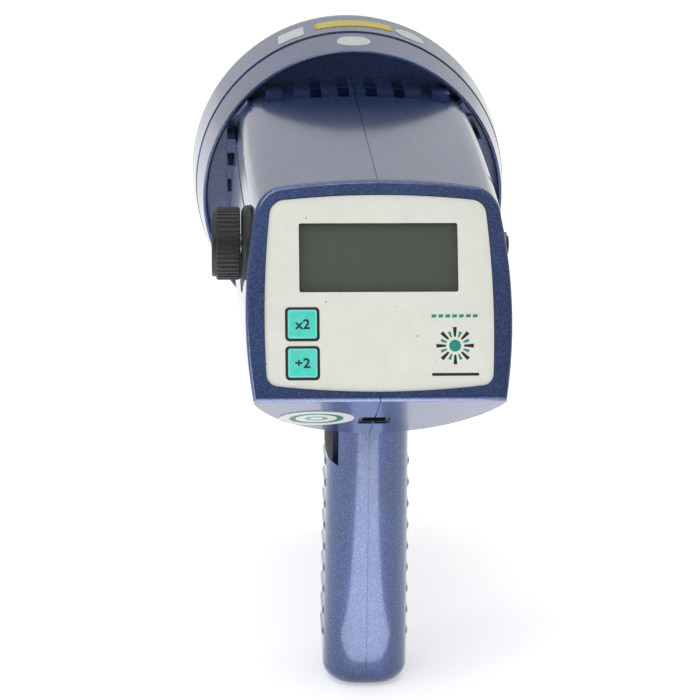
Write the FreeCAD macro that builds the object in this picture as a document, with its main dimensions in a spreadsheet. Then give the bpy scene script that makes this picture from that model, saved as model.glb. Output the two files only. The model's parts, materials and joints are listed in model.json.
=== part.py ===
import FreeCAD, Part
import math
import os
import re
import Sketcher

# Hand-held stroboscopic timing light: a pistol-shaped casing in two halves, a round lamp
# housing in front, a leaning display face behind, a speed knob on the left side.
# Frame: origin at the mouth of the tripod socket, in the middle of the handle's foot.
# +Y is the way the lamp shines, +X is to the right of a user holding it, +Z is up. Millimetres.

Vector = FreeCAD.Vector
Rotation = FreeCAD.Rotation
Placement = FreeCAD.Placement

ALONG_X = Rotation(Vector(0, 1, 0), 90)
ALONG_Y = Rotation(Vector(1, 0, 0), -90)
UPRIGHT = Rotation()

DIMENSIONS = {
    # casing outline
    "lip_y": -73.0, "lip_z": 124.0, "lean": 25.6, "belly_slope": 29.0,
    "body_top": 188.4, "body_bottom": 95.6, "crown": 2.0,
    "side_top_z": 177.0, "side_low_z": 122.0, "corner_radius": 10.2, "side_bow": 2.8,
    "rear_flat": 30.0, "rear_top": 38.4, "rear_low": 39.9,
    "mid_flat": 32.5, "mid_top": 41.2, "mid_low": 42.2, "mid_station": 67.0,
    "front_flat": 32.0, "front_top": 42.6, "front_low": 44.2,
    "wall": 2.5, "face_wall": 2.0, "edge_round": 1.6,
    "seam_half": 0.2, "seam_depth": 0.8,
    "side_line_y": -18.0, "side_line_z": 170.6, "side_line_long": 99.0, "side_line_high": 1.1,
    # handle
    "grip_width": 29.4, "grip_depth": 38.0, "grip_corner": 12.0, "grip_height": 108.0,
    "grip_taper": 0.4, "foot_round": 5.5,
    "rib_pitch": 7.94, "rib_radius": 2.6, "rib_proud": 0.65, "rib_length": 13.0,
    "rib_low_z": 16.6, "rib_count": 9,
    # lamp housing and what it holds, along Y
    "lamp_z": 147.6, "web_y": 105.0, "web_thick": 2.5, "web_bore": 10.5,
    "rim_y": 97.9, "rim_radius": 56.2, "rim_thick": 1.6,
    "groove_y": 120.3, "groove_radius": 58.9, "groove_depth": 1.1, "groove_half": 1.0,
    "flare_y": 143.5, "flare_radius": 60.3, "seat_y": 147.5, "seat_bore": 52.6,
    "front_y": 156.0, "bezel_screw_circle": 57.0, "mouth_radius": 53.0,
    "lens_radius": 55.6, "lens_y": 149.6, "lens_thick": 2.6,
    "bowl_radius": 50.5, "bowl_floor_y": 113.8, "bowl_hole": 12.2, "bowl_skin": 0.9,
    "tube_radius": 3.2, "tube_half_span": 7.5, "tube_leg_top": 132.0, "lamp_base_top": 118.0,
    # vents at the front of the casing
    "vent_pitch": 10.25, "vent_slot": 4.1, "vent_rib_y": 88.0, "vent_rib_high": 1.5,
    "side_vent_z": 142.6, "side_vent_pitch": 9.9, "side_vent_high": 4.9, "side_rib_x": 47.1,
    "corner_rib_x": 38.1, "corner_rib_z": 180.6, "corner_rib_high": 4.5,
    # display face, in the plane of the face: u across, v up the slope
    "face_top": 66.9, "face_bottom": 2.9, "face_half_top": 34.8, "face_half_low": 36.0,
    "label_sink": 0.5, "label_thick": 0.4, "panel_thick": 1.2,
    "panel_flange": 1.1, "panel_grow": 1.1,
    "display_v": 46.3, "display_wide": 50.9, "display_high": 22.4, "display_round": 0.7,
    "key_u": -24.6, "key_upper_v": 24.8, "key_lower_v": 12.3, "key_size": 10.6,
    "key_gap": 0.2, "key_round": 1.3,
    # speed knob, axis along X
    "knob_y": -33.0, "knob_z": 165.1, "knob_radius": 11.9, "knob_seat_x": -40.4,
    "seat_radius": 14.2, "seat_z": 163.3, "seat_thick": 3.2, "seat_round": 2.2,
    "knob_gap": 0.4, "knob_long": 7.8,
    "cap_radius": 10.8, "cap_thick": 1.5, "knurl_count": 44, "knurl_radius": 0.55,
    "shaft_radius": 3.0, "shaft_fit": 0.05, "encoder_size": 13.0, "encoder_deep": 7.0,
    # sockets on the right side and on the belly
    "jack_a_y": -26.0, "jack_a_z": 162.5, "jack_b_y": -8.0, "jack_b_z": 158.0,
    "jack_bore": 1.8, "jack_thread": 3.0, "jack_nut": 4.2, "jack_face_x": 42.0,
    "plate_low_y": -34.0, "plate_high_y": -1.6, "plate_low_z": 150.5, "plate_high_z": 169.5,
    "plate_gap": 0.15, "cradle_x": 25.5, "cradle_thick": 2.0,
    "port_wide": 10.2, "port_long": 11.6, "port_down": 35.0,
    # trigger and lock button
    "pivot_y": 12.5, "pivot_z": 88.5, "pin_radius": 1.5, "pin_fit": 0.05, "pin_long": 24.0,
    "trigger_wide": 13.0, "slot_half": 7.0, "slot_low_z": 57.5, "slot_top_z": 93.6,
    "lock_y": -22.0, "lock_z": 97.0, "lock_radius": 16.5, "lock_inner_x": -12.2,
    "lock_gap": 0.4, "lock_top_z": 94.6, "lock_proud": 0.7, "lock_travel": 1.5,
    "slot_drop": 1.6, "spring_pitch": 1.4, "spring_high": 6.2, "spring_radius": 2.6,
    "spring_wire": 0.3,
    # tripod socket: a hexagonal insert for a quarter inch thread with 20 threads per inch
    "tripod_bore": 2.6, "tripod_outer": 6.4, "tripod_long": 12.0, "tripod_flange": 8.0,
    # casing screws
    "boss_radius": 3.6, "screw_radius": 1.5, "screw_hole": 1.6, "screw_head": 2.8,
    "head_hole": 3.2, "screw_reach": 9.0,
    # inside
    "cell_radius": 11.25, "cell_long": 43.0, "cell_gap": 0.5, "cell_z": 133.5, "cell_y": 8.0,
    "board_thick": 1.6, "power_board_z": 148.0,
}

doc = FreeCAD.newDocument("timing_light")
dims = doc.addObject("Spreadsheet::Sheet", "dims")
for row, (alias, number) in enumerate(DIMENSIONS.items(), start=1):
    dims.set(f"A{row}", alias)
    dims.set(f"B{row}", str(number))
    dims.setAlias(f"B{row}", alias)
doc.recompute()

WORD = re.compile(r"\b(" + "|".join(DIMENSIONS) + r")\b")
nodes = []


# ---------------------------------------------------------------- helpers

def cells(expression):
    """The expression with each alias read from the sheet."""
    return WORD.sub(r"dims.\1", str(expression))


def value(expression):
    """The expression's number, worked out from the sheet."""
    result = dims.evalExpression(cells(expression))
    return float(getattr(result, "Value", result))


def bind(thing, **sizes):
    """Ties properties of a document object to expressions of the sheet."""
    for name, expression in sizes.items():
        thing.setExpression(name, cells(expression))
    return thing


def place(thing, at=("0", "0", "0"), turn=UPRIGHT):
    """Turns an object and ties its position to the sheet."""
    thing.Placement = Placement(Vector(*[value(part) for part in at]), turn)
    for axis, expression in zip("xyz", at):
        thing.setExpression(f"Placement.Base.{axis}", cells(expression))
    return thing


def add(kind, name, at=("0", "0", "0"), turn=UPRIGHT, **sizes):
    """A Part primitive with its sizes and place tied to the sheet."""
    return place(bind(doc.addObject(kind, name), **sizes), at, turn)


def box(name, size, at):
    """A box that is centred across X, from a corner in Y and Z."""
    corner = (f"({at[0]}) - ({size[0]})/2", at[1], at[2])
    return add("Part::Box", name, corner, Length=size[0], Width=size[1], Height=size[2])


def tilted_box(name, size, corner, turn, origin):
    """A box whose corner is given in turned coordinates about an origin; the place is read
    from the sheet."""
    made = bind(doc.addObject("Part::Box", name), Length=size[0], Width=size[1], Height=size[2])
    start = turn.multVec(Vector(*[value(part) for part in corner]))
    made.Placement = Placement(start + Vector(*[value(part) for part in origin]), turn)
    return made


def rod(name, radius, length, at, turn=UPRIGHT):
    return add("Part::Cylinder", name, at, turn, Radius=radius, Height=length)


def hexagon(name, radius, length, at=("0", "0", "0")):
    """A six-sided bar; the radius is that of its corners."""
    return add("Part::Prism", name, at, Polygon="6", Circumradius=radius, Height=length)


def cut(name, base, tool):
    made = doc.addObject("Part::Cut", name)
    made.Base = base
    made.Tool = tool
    return made


def fuse(name, shapes):
    made = doc.addObject("Part::MultiFuse", name)
    made.Shapes = shapes
    return made


def common(name, base, tool):
    made = doc.addObject("Part::Common", name)
    made.Base = base
    made.Tool = tool
    return made


def group(name, shapes):
    """Separate solids that share one node."""
    made = doc.addObject("Part::Compound", name)
    made.Links = shapes
    return made


def node(thing, label):
    """Names a sub-part; its label is the name of its file."""
    thing.Label = label
    nodes.append(thing)
    return thing


def plane(body, role):
    return [item for item in body.Origin.OriginFeatures if item.Role == role][0]


def sketch(body, name, role="XY_Plane", lift="0"):
    """A sketch on one of the body's own origin planes, lifted along the plane's normal."""
    made = body.newObject("Sketcher::SketchObject", name)
    made.AttachmentSupport = (plane(body, role), [""])
    made.MapMode = "FlatFace"
    made.AttachmentOffset = Placement(Vector(0, 0, value(lift)), Rotation())
    made.setExpression("AttachmentOffset.Base.z", cells(lift))
    return made


def arc_between(start, end, radius):
    """The arc from start to end, turning left round a centre on its left; the other way if
    the radius is negative."""
    middle = (start + end) * 0.5
    chord = end - start
    reach = math.sqrt(max(radius * radius - chord.Length ** 2 / 4, 0.0))
    left = Vector(-chord.y, chord.x, 0).normalize()
    centre = middle + left * math.copysign(reach, radius)
    first, last = (start, end) if radius > 0 else (end, start)
    low = math.atan2(first.y - centre.y, first.x - centre.x)
    high = math.atan2(last.y - centre.y, last.x - centre.x)
    if high < low:
        high += 2 * math.pi
    circle = Part.Circle(centre, Vector(0, 0, 1), abs(radius))
    return Part.ArcOfCircle(circle, low, high)


def outline(target, corners):
    """Closes an outline through corners (x, y) or (x, y, radius); a radius makes the run to
    the next corner an arc. Corners go counter-clockwise, and every value is tied to the sheet."""
    points = [Vector(value(corner[0]), value(corner[1]), 0) for corner in corners]
    ends = []
    for index, corner in enumerate(corners):
        start, end = points[index], points[(index + 1) % len(points)]
        if len(corner) == 3:
            radius = value(corner[2])
            edge = target.addGeometry(arc_between(start, end, radius), False)
            ends.append((edge, 1, 2) if radius > 0 else (edge, 2, 1))
        else:
            edge = target.addGeometry(Part.LineSegment(start, end), False)
            ends.append((edge, 1, 2))
    for index, (edge, start, end) in enumerate(ends):
        following = ends[(index + 1) % len(ends)]
        target.addConstraint(Sketcher.Constraint("Coincident", edge, end, following[0], following[1]))
    for index, corner in enumerate(corners):
        edge, start, end = ends[index]
        for kind, expression in (("DistanceX", corner[0]), ("DistanceY", corner[1])):
            tie = target.addConstraint(Sketcher.Constraint(kind, -1, 1, edge, start, value(expression)))
            target.setExpression(f"Constraints[{tie}]", cells(expression))
        if len(corner) == 3:
            size = f"abs({corner[2]})"
            tie = target.addConstraint(Sketcher.Constraint("Radius", edge, value(size)))
            target.setExpression(f"Constraints[{tie}]", cells(size))


def ring(target, x, y, radius):
    """A full circle in a sketch."""
    circle = Part.Circle(Vector(value(x), value(y), 0), Vector(0, 0, 1), value(radius))
    edge = target.addGeometry(circle, False)
    for kind, expression in (("DistanceX", x), ("DistanceY", y)):
        tie = target.addConstraint(Sketcher.Constraint(kind, -1, 1, edge, 3, value(expression)))
        target.setExpression(f"Constraints[{tie}]", cells(expression))
    tie = target.addConstraint(Sketcher.Constraint("Radius", edge, value(radius)))
    target.setExpression(f"Constraints[{tie}]", cells(radius))


def new_body(name):
    return doc.addObject("PartDesign::Body", name)


def pad(body, profile, length, both=False, back=False):
    made = body.newObject("PartDesign::Pad", profile.Name + "_pad")
    made.Profile = (profile, [""])
    bind(made, Length=length)
    made.Midplane = both
    made.Reversed = back
    return made


def turned(name, corners, at=("0", "0", "0"), turn=UPRIGHT):
    """A turned piece: corners are (radius, along), and the axis is the body's own Y."""
    body = new_body(name)
    profile = sketch(body, name + "_profile")
    outline(profile, corners)
    made = body.newObject("PartDesign::Revolution", name + "_turned")
    made.Profile = (profile, [""])
    made.ReferenceAxis = (profile, ["V_Axis"])
    made.Angle = 360
    return place(body, at, turn)


def softened(name, base, radius, wanted, kind="Part::Fillet"):
    """Rounds (or bevels) the edges of an object that the test picks."""
    doc.recompute()
    size = value(radius)
    picked = [
        (index, size, size)
        for index, edge in enumerate(base.Shape.Edges, start=1)
        if wanted(edge)
    ]
    made = doc.addObject(kind, name)
    made.Base = base
    made.Edges = picked
    doc.recompute()
    return made


def face_turn():
    """Turns local X, Y, Z to across, up the leaning face, and out of it."""
    return Rotation(Vector(1, 0, 0), 90 - value("lean"))


def on_face(thing, out="0"):
    """Puts an object made in face coordinates on the leaning face, some way out of it."""
    at = ("0", f"lip_y - ({out})*cos(lean*1deg)", f"lip_z + ({out})*sin(lean*1deg)")
    return place(thing, at, face_turn())


def belly_turn():
    return Rotation(Vector(1, 0, 0), -value("belly_slope"))


def on_belly(thing, out="0"):
    """Puts an object made in belly coordinates (across, down the slope, into the body) there."""
    at = ("0", f"lip_y - ({out})*sin(belly_slope*1deg)", f"lip_z - ({out})*cos(belly_slope*1deg)")
    return place(thing, at, belly_turn())


LAMP_AXIS = ("0", "0", "lamp_z")
LIP = ("0", "lip_y", "lip_z")


# ---------------------------------------------------------------- casing

def barrel_section(body, name, station, flat, top, low, inset):
    """A cross-section of the barrel: crowned top, round shoulders, bowed sides, round belly."""
    upper = f"body_top - crown - {inset}"
    waist = f"({top} - {inset})"
    foot = f"({low} - {inset})"
    drop = f"(side_low_z - body_bottom - {inset})"
    crown_radius = f"({flat}^2 + crown^2)/(2*crown)"
    side_radius = f"((side_top_z - side_low_z)^2/4 + side_bow^2)/(2*side_bow)"
    belly_radius = f"({foot}^2 + {drop}^2)/(2*{drop})"
    shoulder_radius = f"corner_radius - {inset}"
    profile = sketch(body, name, "XZ_Plane", f"-({station})")
    outline(profile, [
        (foot, "side_low_z", side_radius),
        (waist, "side_top_z", shoulder_radius),
        (flat, upper, crown_radius),
        (f"-({flat})", upper, shoulder_radius),
        (f"-{waist}", "side_top_z", side_radius),
        (f"-{foot}", "side_low_z", belly_radius),
    ])
    return profile


def barrel(name, inset, face_inset):
    """The barrel lofted through three sections, cut by the face and the sloping belly."""
    body = new_body(name + "_loft")
    stations = [
        barrel_section(body, name + "_rear", "lip_y - 3", "rear_flat", "rear_top", "rear_low", inset),
        barrel_section(body, name + "_mid", "lip_y + mid_station", "mid_flat", "mid_top", "mid_low",
                       inset),
        barrel_section(body, name + "_front", "web_y", "front_flat", "front_top", "front_low", inset),
    ]
    loft = body.newObject("PartDesign::AdditiveLoft", name + "_skin")
    loft.Profile = (stations[0], [""])
    loft.Sections = [(station, [""]) for station in stations[1:]]
    size = ("160", "160", "60")
    behind = tilted_box(name + "_behind", size, ("-80", "-40", f"-({face_inset})"), face_turn(), LIP)
    under = tilted_box(name + "_under", size, ("-80", "-40", f"{inset} - 60"), belly_turn(), LIP)
    return cut(name, body, fuse(name + "_trim", [behind, under]))


def handle(name, inset, foot):
    """The handle's upright bar with rounded corners, less an inset all round."""
    body = new_body(name)
    profile = sketch(body, name + "_profile", "XY_Plane", foot)
    side = f"(grip_width/2 - {inset})"
    deep = f"(grip_depth/2 - {inset})"
    turn = f"(grip_corner - {inset})"
    outline(profile, [
        (side, f"{turn} - {deep}"),
        (side, f"{deep} - {turn}", turn),
        (f"{side} - {turn}", deep),
        (f"{turn} - {side}", deep, turn),
        (f"-{side}", f"{deep} - {turn}"),
        (f"-{side}", f"{turn} - {deep}", turn),
        (f"{turn} - {side}", f"-{deep}"),
        (f"{side} - {turn}", f"-{deep}", turn),
    ])
    upright = pad(body, profile, f"grip_height - {foot}")
    bind(upright, TaperAngle="-grip_taper")
    return body


def grip_half(height):
    """Half the width of the handle at a height."""
    return f"(grip_width/2 - ({height})*tan(grip_taper*1deg))"


def foot_edge(edge):
    return all(abs(vertex.Z) < 0.01 for vertex in edge.Vertexes)


def face_edge(edge):
    """True for the rim of the leaning face."""
    out = face_turn().multVec(Vector(0, 0, 1))
    corner = Vector(0, value("lip_y"), value("lip_z"))
    return all(abs((vertex.Point - corner).dot(out)) < 0.01 for vertex in edge.Vertexes)


def label_corners(grow):
    """The rounded outline of the display face, grown all round."""
    low = f"(face_bottom - {grow})"
    high = f"(face_top + {grow})"
    return [
        (f"face_half_low - 3.5 + {grow}", f"{low} + 2.0", f"3.8 + {grow}"),
        (f"face_half_low + 0.1 + {grow}", f"{low} + 5.5", "330"),
        (f"face_half_top + {grow}", f"{high} - 6.5", f"5 + {grow}"),
        (f"face_half_top - 4 + {grow}", f"{high} - 1.9", "290"),
        (f"4 - face_half_top - {grow}", f"{high} - 1.9", f"5 + {grow}"),
        (f"-(face_half_top + {grow})", f"{high} - 6.5", "330"),
        (f"-(face_half_low + 0.1 + {grow})", f"{low} + 5.5", f"3.8 + {grow}"),
        (f"3.5 - face_half_low - {grow}", f"{low} + 2.0", "290"),
    ]


def face_plate(name, grow, thick, out, holes=()):
    """A plate in the outline of the display face whose outer side is out from the face plane."""
    body = new_body(name)
    profile = sketch(body, name + "_profile")
    outline(profile, label_corners(grow))
    for hole in holes:
        outline(profile, rounded(*hole))
    pad(body, profile, thick, back=True)
    return on_face(body, out)


def rounded(u, v, wide, high, radius):
    """Corners of a rounded rectangle about a centre."""
    left, right = f"{u} - ({wide})/2", f"{u} + ({wide})/2"
    low, top = f"{v} - ({high})/2", f"{v} + ({high})/2"
    return [
        (right, f"{low} + {radius}"),
        (right, f"{top} - {radius}", radius),
        (f"{right} - {radius}", top),
        (f"{left} + {radius}", top, radius),
        (left, f"{top} - {radius}"),
        (left, f"{low} + {radius}", radius),
        (f"{left} + {radius}", low),
        (f"{right} - {radius}", low, radius),
    ]


# Screws that join the halves: (y, z, where the head sits along X, outer end of its boss)
CASING_SCREWS = [
    (-14.0, 179.5, 31.0), (88.0, 179.0, 31.0), (-50.0, 127.0, 34.0), (60.0, 103.5, 14.0),
    (0.0, 49.0, 8.0), (9.5, 20.0, 8.0),
]
# Screws that hold the lamp housing on the casing: (x, z)
HOUSING_SCREWS = [(-31.5, 176.5), (31.5, 176.5), (-32.5, 112.0), (32.5, 112.0)]


def casing_extras():
    """Bosses, lugs and ribs inside the casing, all run across both halves."""
    shapes = []
    for number, (y, z, _) in enumerate(CASING_SCREWS):
        shapes.append(rod(f"boss_{number}", "boss_radius", "90", ("-45", y, z), ALONG_X))
    for number, (x, z) in enumerate(HOUSING_SCREWS):
        at = (x, "web_y - 14", z)
        shapes.append(rod(f"front_boss_{number}", "boss_radius", "14", at, ALONG_Y))
    at = ("-46.5", "knob_y", "seat_z")
    shapes.append(rod("knob_boss", "seat_radius + 1.6", "8", at, ALONG_X))
    lug = "(grip_width/2 - slot_half - 0.4)"
    shapes.append(rod("lug_left", "3.4", lug, ("-grip_width/2", "pivot_y", "pivot_z"), ALONG_X))
    shapes.append(rod("lug_right", "3.4", lug, ("slot_half + 0.4", "pivot_y", "pivot_z"), ALONG_X))
    shapes.append(rod("tripod_boss", "tripod_flange + 1.5", "tripod_long + 3", ("0", "0", "0.5")))
    shapes.append(box("tripod_key", ("grip_width - 2", "8", "10"), ("0", "-4", "1")))
    floor_x = "lock_inner_x + lock_gap + lock_travel"
    well = rod("lock_well", "lock_radius + lock_gap + 1.4", f"{floor_x} + 1.5 + 15",
               ("-15", "lock_y", "lock_z"), ALONG_X)
    below = box("lock_well_limit", ("60", "60", "40"), ("0", "-40", "lock_top_z + lock_gap + 1.4 - 40"))
    shapes.append(common("lock_pocket", well, below))
    return fuse("casing_extras", shapes + jack_cradle())


def jack_cradle():
    """A rib of the right half that stands behind both small sockets, with its two legs."""
    low = "plate_low_z - 0.1"
    high = "plate_high_z - plate_low_z + 2"
    leg = "cradle_thick - 0.4"
    first = f"plate_low_y - 0.2 - ({leg})"
    second = "plate_high_y + 0.2"
    back = add("Part::Box", "cradle_back", ("cradle_x", first, low), Length="cradle_thick",
               Width=f"plate_high_y - plate_low_y + 0.4 + 2*({leg})", Height=high)
    legs = [
        add("Part::Box", f"cradle_leg_{number}", ("cradle_x", y, low),
            Length="18.5", Width=leg, Height=high)
        for number, y in enumerate((first, second))
    ]
    return [back] + legs


def grip_ribs():
    """Half-round bumps with round ends down both sides of the handle."""
    shapes = []
    for side in (-1, 1):
        for number in range(int(value("rib_count"))):
            height = f"rib_low_z + {number}*rib_pitch"
            centre = f"{side}*({grip_half(height)} + rib_proud - rib_radius)"
            label = f"grip_rib_{len(shapes)}"
            start = (centre, "-rib_length/2", height)
            bar = rod(label + "_bar", "rib_radius", "rib_length", start, ALONG_Y)
            ends = [
                add("Part::Sphere", f"{label}_end_{end + 1}", (centre, f"{end}*rib_length/2", height),
                    Radius="rib_radius")
                for end in (-1, 1)
            ]
            shapes.append(fuse(label, [bar] + ends))
    return fuse("grip_ribs", shapes)


def vent_ribs():
    """Raised blocks between the vent slots: along the top, on its two corners and down the sides."""
    shapes = []
    wide = "vent_pitch - vent_slot"
    long = "web_y - vent_rib_y"
    for number in range(-3, 4):
        drop = 0.02 * abs(number) ** 3
        at = (f"{number}*vent_pitch + 0.8", "vent_rib_y", f"body_top - 4 - {drop}")
        shapes.append(box(f"vent_rib_{number + 3}", (wide, long, "4 + vent_rib_high"), at))
    for side in (-1, 1):
        size = (wide, "rim_y - vent_rib_y - 2.6", "corner_rib_high")
        turn = Rotation(Vector(0, 1, 0), side * 52)
        origin = (f"{side}*corner_rib_x", "vent_rib_y + 1.2", "corner_rib_z")
        shapes.append(tilted_box(f"corner_rib_{side + 1}", size, (f"-({wide})/2", "0", "0"), turn, origin))
    for number in range(3):
        at = ("0", "vent_rib_y", f"side_vent_z + side_vent_high + {number}*side_vent_pitch")
        size = ("2*side_rib_x", long, "side_vent_pitch - side_vent_high")
        bar = box(f"side_rib_{number}", size, at)
        hollow = box(f"side_rib_hollow_{number}", ("2*side_rib_x - 6", f"{long} + 2", "side_vent_pitch"),
                     ("0", "vent_rib_y - 1", f"{at[2]} - 2"))
        shapes.append(cut(f"side_rib_pair_{number}", bar, hollow))
    return fuse("vent_ribs", shapes)


def jack_holes():
    """The holes and flat seats of the two small sockets in their plate."""
    tools = []
    for letter in "ab":
        y, z = f"jack_{letter}_y", f"jack_{letter}_z"
        start = ("jack_face_x - 14", y, z)
        tools.append(rod(f"jack_hole_{letter}", "jack_thread + 0.1", "20", start, ALONG_X))
        tools.append(rod(f"jack_spot_{letter}", "jack_nut + 0.5", "6", ("jack_face_x", y, z), ALONG_X))
    return fuse("jack_holes", tools)


def plate_block(name, gap):
    """The block that marks out the socket plate in the right wall, less a gap all round."""
    return add("Part::Box", name, ("jack_face_x - 8", f"plate_low_y + {gap}", f"plate_low_z + {gap}"),
               Length="20", Width=f"plate_high_y - plate_low_y - 2*{gap}",
               Height=f"plate_high_z - plate_low_z - 2*{gap}")


def casing_holes():
    """Everything cut out of the casing: sockets, vents, slots, screw holes and recesses."""
    tools = []
    for number, (y, z, head) in enumerate(CASING_SCREWS):
        tools.append(rod(f"shank_hole_{number}", "screw_hole", f"{head} + screw_reach + 1",
                         ("-screw_reach - 1", y, z), ALONG_X))
        tools.append(rod(f"head_hole_{number}", "head_hole", "30", (head, y, z), ALONG_X))
    for number, (x, z) in enumerate(HOUSING_SCREWS):
        tools.append(rod(f"front_hole_{number}", "screw_hole", "12", (x, "web_y - 12", z), ALONG_Y))
    seat_at = ("knob_seat_x - 20", "knob_y", "seat_z")
    tools.append(rod("seat_recess", "seat_radius + 0.3", "20", seat_at, ALONG_X))
    tools.append(rod("bush_hole", "4.6", "40", ("knob_seat_x - 20", "knob_y", "knob_z"), ALONG_X))
    tools.append(plate_block("plate_window", "0"))
    for number in (-2, -1, 0, 1):
        at = (f"({number} + 0.5)*vent_pitch + 0.8", "vent_rib_y", "body_top - 6")
        tools.append(box(f"vent_slot_{number + 2}", ("vent_slot", "web_y - vent_rib_y - 1.5", "12"), at))
    for number in range(3):
        at = ("0", "vent_rib_y", f"side_vent_z + {number}*side_vent_pitch")
        tools.append(box(f"side_vent_{number}", ("110", "web_y - vent_rib_y - 3", "side_vent_high"), at))
    at = ("0", "grip_depth/2 - 8", "slot_low_z - slot_drop")
    tools.append(box("trigger_slot", ("2*slot_half", "14", "slot_top_z - slot_low_z + slot_drop"), at))
    at = ("-pin_long/2", "pivot_y", "pivot_z")
    tools.append(rod("pin_hole", "pin_radius", "pin_long", at, ALONG_X))
    tools.append(hexagon("insert_hole", "tripod_outer", "tripod_long + 6", ("0", "0", "-1")))
    tools.append(hexagon("insert_flange_hole", "tripod_flange", "1.2", ("0", "0", "-0.01")))
    recess = rod("lock_round", "lock_radius + lock_gap", "20",
                 ("lock_inner_x + lock_gap + lock_travel - 20", "lock_y", "lock_z"), ALONG_X)
    below = box("lock_limit", ("60", "60", "40"), ("0", "-40", "lock_top_z + lock_gap - 40"))
    tools.append(common("lock_recess", recess, below))
    port = new_body("port_cutter")
    profile = sketch(port, "port_cutter_profile")
    outline(profile, rounded("0", "port_down", "port_wide + 0.2", "port_long + 0.2", "1.2"))
    pad(port, profile, "20", both=True)
    tools.append(on_belly(port))
    tools.append(face_plate("face_opening", "0.15", "12", "4"))
    return fuse("casing_holes", tools)


def surface_lines():
    """The fine rebate round the joint of the two halves and the line down each side, both
    cut to one small depth."""
    joint = box("seam_sheet", ("2*seam_half", "260", "260"), ("0", "-100", "-20"))
    line = box("side_line_sheet", ("120", "side_line_long", "side_line_high"),
               ("0", "side_line_y", "side_line_z"))
    core = fuse("seam_core", [
        barrel("seam_barrel", "seam_depth", "seam_depth"),
        handle("seam_handle", "seam_depth", "seam_depth"),
    ])
    return cut("surface_lines", fuse("line_sheets", [joint, line]), core)


def casing():
    """Both halves of the casing as one hollow body, then split down the middle."""
    grip = handle("grip_bar", "0", "0")
    rounded_grip = softened("grip_rounded", grip, "foot_round", foot_edge)
    trimmed = barrel("barrel", "0", "0")
    rounded_barrel = softened("barrel_rounded", trimmed, "edge_round", face_edge)
    solid = fuse("casing_solid", [rounded_barrel, rounded_grip])
    hollow = fuse("casing_hollow", [
        barrel("barrel_hollow", "wall", "face_wall"),
        handle("grip_hollow", "wall", "wall"),
    ])
    skin = cut("casing_skin", solid, hollow)
    inner = common("casing_inner", casing_extras(), solid)
    whole = fuse("casing_whole", [skin, inner, grip_ribs(), vent_ribs()])
    opened = cut("casing_opened", whole, casing_holes())
    lined = cut("casing_lined", opened, surface_lines())
    for side, label in ((-1, "left_shell"), (1, "right_shell")):
        half = box(f"{label}_half", ("80", "300", "260"), (f"{side}*40", "-100", "-20"))
        node(common(label, lined, half), label)
    blank = common("jack_plate_blank", skin, plate_block("plate_outline", "plate_gap"))
    node(cut("jack_plate_drilled", blank, jack_holes()), "jack_plate")


# ---------------------------------------------------------------- lamp housing and lamp

def lamp_housing():
    """The flared round housing, with a web across it that butts against the casing."""
    body = turned("housing_bell", [
        ("rim_radius - rim_thick", "rim_y", "rim_thick/2 + 0.01"),
        ("rim_radius", "rim_y"),
        ("groove_radius - 0.3", "groove_y - groove_half - 0.4"),
        ("groove_radius - groove_depth", "groove_y - groove_half"),
        ("groove_radius - groove_depth", "groove_y + groove_half"),
        ("groove_radius + 0.1", "groove_y + groove_half + 0.4"),
        ("flare_radius", "flare_y", "14"),
        ("flare_radius", "seat_y"),
        ("seat_bore", "seat_y"),
        ("seat_bore", "seat_y - 2"),
        ("flare_radius - rim_thick - 0.4", "seat_y - 3.4"),
        ("groove_radius - rim_thick - 1", "groove_y"),
        ("rim_radius - rim_thick + 0.8", "web_y + web_thick"),
        ("web_bore", "web_y + web_thick"),
        ("web_bore", "web_y"),
        ("rim_radius - rim_thick + 0.5", "web_y"),
    ], LAMP_AXIS)
    tools = []
    for number, (x, z) in enumerate(HOUSING_SCREWS):
        tools.append(rod(f"web_hole_{number}", "screw_hole", "8", (x, "web_y - 2", z), ALONG_Y))
    for number in range(4):
        x, z = ring_spot("bezel_screw_circle", number)
        tools.append(rod(f"rim_hole_{number}", "1.1", "8", (x, "seat_y - 7", z), ALONG_Y))
    for side in (-1, 1):
        at = (f"{side}*16", "web_y - 1", "lamp_z")
        tools.append(rod(f"base_hole_{side + 1}", "1.1", "6", at, ALONG_Y))
    node(cut("housing", body, fuse("housing_holes", tools)), "lamp_housing")


def ring_spot(circle, number):
    """Where one of four screws sits on a circle about the lamp's axis."""
    angle = math.radians(45 + 90 * number)
    return (f"{circle}*{math.cos(angle):.6f}", f"lamp_z + {circle}*{math.sin(angle):.6f}")


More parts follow.
